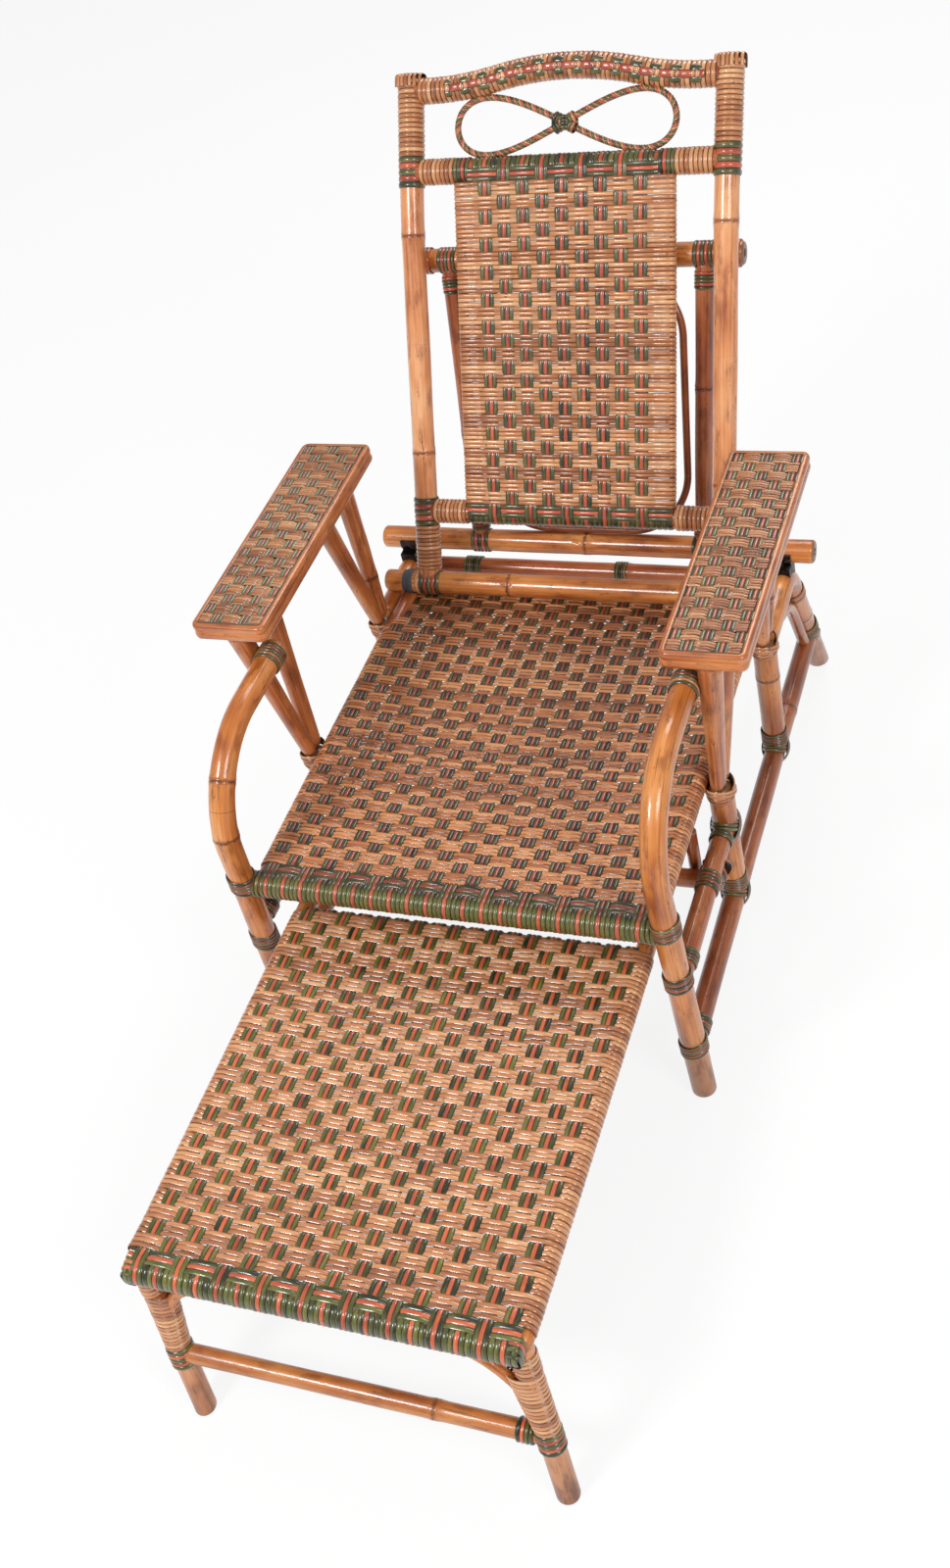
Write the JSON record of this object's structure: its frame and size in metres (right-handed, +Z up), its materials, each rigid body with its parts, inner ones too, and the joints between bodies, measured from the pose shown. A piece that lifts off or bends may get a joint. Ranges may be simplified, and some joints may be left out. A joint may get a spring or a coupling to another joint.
{
  "type": "folding recliner",
  "caption": "Long bamboo chair with woven cane seat, back and armrests; the back folds down on a prop frame and a legged footrest slides under the seat.",
  "frame": {"origin": "on the floor, at the middle of the width and of the length", "axes": "+X towards the right-hand armrest as seen from the front, +Y from the footrest towards the back, +Z up"},
  "size_m": [0.743, 1.5503, 0.9933],
  "materials": {
    "bamboo_pole": "glossy old varnish",
    "rattan": "glossy old varnish",
    "woven_cane": "split cane, satin varnish",
    "wrapped_cane": "split cane, satin varnish",
    "natural_cane": "split cane, satin varnish",
    "dyed_cane": "dyed split cane, satin varnish",
    "black_iron": "worn black paint",
    "grey_tape": "woven tape"
  },
  "bodies": {
    "base": {"armrest_board_left": "woven_cane", "armrest_board_right": "woven_cane", "armrest_rim_left": "rattan", "armrest_rim_right": "rattan", "bow_leg_left": "bamboo_pole", "bow_leg_right": "bamboo_pole", "fork_lashings": "natural_cane", "frame_lashings": "dyed_cane", "front_fork_arms_left": "bamboo_pole", "front_fork_arms_right": "bamboo_pole", "front_post_left": "bamboo_pole", "front_post_right": "bamboo_pole", "front_seat_rail": "wrapped_cane", "lower_stretcher_left": "bamboo_pole", "lower_stretcher_right": "bamboo_pole", "pivot_bar": "bamboo_pole", "pivot_strap": "grey_tape", "prop_hooks": "black_iron", "rear_cross_rail": "bamboo_pole", "rear_fork_arms_left": "bamboo_pole", "rear_fork_arms_right": "bamboo_pole", "rear_leg_braces": "rattan", "rear_leg_left": "bamboo_pole", "rear_leg_right": "bamboo_pole", "rear_post_left": "bamboo_pole", "rear_post_right": "bamboo_pole", "seat_panel": "woven_cane", "seat_rear_rail": "bamboo_pole", "seat_side_rail_left": "bamboo_pole", "seat_side_rail_right": "bamboo_pole", "slide_crossbar": "bamboo_pole", "slide_rail_left": "bamboo_pole", "slide_rail_right": "bamboo_pole"},
    "back": {"back_lashings": "dyed_cane", "back_lower_crossbar": "wrapped_cane", "back_panel": "woven_cane", "back_pivot_loops": "dyed_cane", "back_post_left": "bamboo_pole", "back_post_right": "bamboo_pole", "back_upper_crossbar": "wrapped_cane", "loop_ornament": "wrapped_cane", "prop_hinge_loops": "dyed_cane", "top_rail": "wrapped_cane"},
    "prop": {"prop_hoop_brace": "rattan", "prop_lashings": "dyed_cane", "prop_lower_bar": "bamboo_pole", "prop_pole_left": "bamboo_pole", "prop_pole_right": "bamboo_pole", "prop_upper_bar": "bamboo_pole"},
    "footrest": {"footrest_front_rail": "wrapped_cane", "footrest_lashings": "dyed_cane", "footrest_leg_left": "bamboo_pole", "footrest_leg_right": "bamboo_pole", "footrest_panel": "woven_cane", "footrest_rear_rail": "bamboo_pole", "footrest_side_pole_left": "bamboo_pole", "footrest_side_pole_right": "bamboo_pole", "footrest_stop_pegs": "bamboo_pole", "footrest_stretcher": "bamboo_pole", "footrest_tail_bar": "bamboo_pole"}
  },
  "joints": [
    {"name": "back_fold", "type": "hinge", "parent": "base", "child": "back", "pos_m": [0, 0.4159, 0.343], "axis": [1, 0, 0], "range_deg": [0, 108]},
    {"name": "prop_swing", "type": "hinge", "parent": "back", "child": "prop", "pos_m": [0, 0.66209, 0.7452], "axis": [1, 0, 0], "range_deg": [0, 29.2]},
    {"name": "footrest_slide", "type": "slide", "parent": "base", "child": "footrest", "axis": [0, 1, 0], "range_m": [0, 0.48]}
  ],
  "couplings": [
    {"joint": "prop_swing", "follows": "back_fold", "ratio": 0.27}
  ]
}
